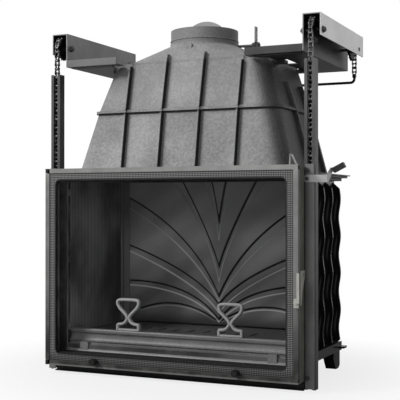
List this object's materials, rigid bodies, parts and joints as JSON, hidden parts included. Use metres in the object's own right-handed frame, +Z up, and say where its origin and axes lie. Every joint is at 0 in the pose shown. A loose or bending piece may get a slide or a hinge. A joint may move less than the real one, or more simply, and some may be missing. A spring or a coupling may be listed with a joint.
{
  "type": "fireplace insert with lift-up glass door",
  "caption": "Cast-iron fireplace insert with a counterbalanced lift-up glass door, chain gear, ribbed smoke hood and flue collar with damper",
  "frame": {"origin": "on the floor, at mid width, under the front face of the firebox castings", "axes": "+X to the viewer's right, +Y to the back of the insert, +Z up; the glass door faces -Y"},
  "size_m": [0.9234, 0.5508, 1.05],
  "materials": {
    "cast_iron": "rough black casting",
    "hood_iron": "grey sand-cast iron",
    "black_paint": "satin black",
    "frame_steel": "grey metallic paint",
    "bright_steel": "bare sheet steel",
    "dark_steel": "dark oiled steel",
    "zinc": "yellow zinc plating",
    "rope": "woven glass-fibre rope",
    "door_glass": "ceramic glass with a printed dark border"
  },
  "bodies": {
    "hearth": {"base_plate": "cast_iron", "hearth_lip": "cast_iron", "left_side": "cast_iron", "right_side": "cast_iron", "rear_casting": "cast_iron", "fan_panel": "cast_iron", "grate": "cast_iron", "log_retainer": "cast_iron", "top_plate": "cast_iron", "baffle": "cast_iron", "lintel": "cast_iron", "lower_hood": "hood_iron", "upper_hood": "hood_iron", "hood_crown": "hood_iron", "flue_collar": "hood_iron", "feet": "black_paint", "plinth": "black_paint", "left_andiron": "bright_steel", "right_andiron": "bright_steel", "left_channel": "bright_steel", "right_channel": "bright_steel", "shelves": "bright_steel", "hood_clip": "bright_steel", "ash_pan": "dark_steel", "left_jamb": "dark_steel", "right_jamb": "dark_steel", "rails": "dark_steel", "axle_bolts": "dark_steel", "top_chains": "dark_steel", "front_chains": "dark_steel", "rear_chains": "dark_steel", "counterweight_guides": "dark_steel", "screws": "dark_steel"},
    "door_carrier": {"carrier_left": "frame_steel", "carrier_right": "frame_steel", "carrier_top": "frame_steel", "carrier_bottom": "frame_steel", "carriages": "black_paint", "door_gasket": "rope", "hinge_pins": "black_paint", "latch_keeper": "zinc"},
    "door_leaf": {"leaf_left": "frame_steel", "leaf_right": "frame_steel", "leaf_top": "frame_steel", "leaf_bottom": "frame_steel", "door_glass": "door_glass", "lifting_knobs": "black_paint", "latch_block": "zinc"},
    "door_latch": {"latch_lever": "zinc"},
    "front_left_wheel": {"left_front_sprocket": "black_paint"},
    "front_right_wheel": {"right_front_sprocket": "black_paint"},
    "rear_left_wheel": {"left_rear_sprocket": "black_paint"},
    "rear_right_wheel": {"right_rear_sprocket": "black_paint"},
    "counterweight": {"counterweight_bail": "black_paint", "counterweight_plates": "dark_steel"},
    "damper": {"damper_shaft": "dark_steel", "damper_disc": "dark_steel", "damper_lever": "bright_steel"},
    "control": {"control_lever": "bright_steel", "control_grip": "black_paint"}
  },
  "joints": [
    {"name": "door_lift", "type": "slide", "parent": "hearth", "child": "door_carrier", "axis": [0, 0, 1], "range_m": [0, 0.4826], "deforming": ["front_chains"]},
    {"name": "door_swing", "type": "hinge", "parent": "door_carrier", "child": "door_leaf", "pos_m": [-0.385, -0.05, 0.312], "axis": [0, 0, -1], "range_deg": [0, 90]},
    {"name": "latch_turn", "type": "hinge", "parent": "door_leaf", "child": "door_latch", "pos_m": [0.387, -0.07, 0.24], "axis": [0, 1, 0], "range_deg": [0, 90]},
    {"name": "front_left_turn", "type": "hinge", "parent": "hearth", "child": "front_left_wheel", "pos_m": [-0.4, 0.053, 0.967], "axis": [-1, 0, 0], "range_deg": [0, 855.5]},
    {"name": "front_right_turn", "type": "hinge", "parent": "hearth", "child": "front_right_wheel", "pos_m": [0.4, 0.053, 0.967], "axis": [-1, 0, 0], "range_deg": [0, 855.5]},
    {"name": "rear_left_turn", "type": "hinge", "parent": "hearth", "child": "rear_left_wheel", "pos_m": [-0.4, 0.4213, 0.967], "axis": [-1, 0, 0], "range_deg": [0, 855.5]},
    {"name": "rear_right_turn", "type": "hinge", "parent": "hearth", "child": "rear_right_wheel", "pos_m": [0.4, 0.4213, 0.967], "axis": [-1, 0, 0], "range_deg": [0, 855.5]},
    {"name": "counterweight_drop", "type": "slide", "parent": "hearth", "child": "counterweight", "axis": [0, 0, -1], "range_m": [0, 0.4826], "deforming": ["rear_chains"]},
    {"name": "damper_turn", "type": "hinge", "parent": "hearth", "child": "damper", "pos_m": [0, 0.2165, 0.966], "axis": [1, 0, 0], "range_deg": [0, 90]},
    {"name": "control_turn", "type": "hinge", "parent": "hearth", "child": "control", "pos_m": [0.397, -0.0028, 0.563], "axis": [0, 1, 0], "range_deg": [0, 20]}
  ],
  "couplings": [
    {"joint": "front_left_turn", "follows": "door_lift", "rad_per_m": 30.921},
    {"joint": "front_right_turn", "follows": "door_lift", "rad_per_m": 30.921},
    {"joint": "rear_left_turn", "follows": "door_lift", "rad_per_m": 30.921},
    {"joint": "rear_right_turn", "follows": "door_lift", "rad_per_m": 30.921},
    {"joint": "counterweight_drop", "follows": "door_lift", "ratio": 1}
  ]
}
